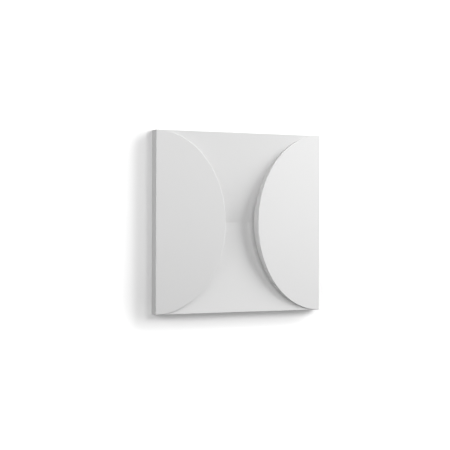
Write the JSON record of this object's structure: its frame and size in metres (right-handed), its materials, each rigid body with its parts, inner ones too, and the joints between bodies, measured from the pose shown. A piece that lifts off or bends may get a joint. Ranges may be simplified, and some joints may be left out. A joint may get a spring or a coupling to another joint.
{
  "type": "wall panel tile",
  "caption": "Square moulded wall tile whose tilted half-oval plates rise from opposite edges over a folded field; glued edge to edge on a wall.",
  "frame": {"origin": "centre of the flat back face, the face that is glued to the wall", "axes": "+Z out of the decorated face, +Y towards the edge that goes uppermost on the wall, +X towards the right-hand edge seen from the front; the crease runs along X"},
  "size_m": [0.333, 0.333, 0.0295],
  "materials": {
    "primed_white": "matte white primer on moulded high-density polyurethane"
  },
  "bodies": {
    "root": {"wall_panel": "primed_white"}
  },
  "joints": []
}
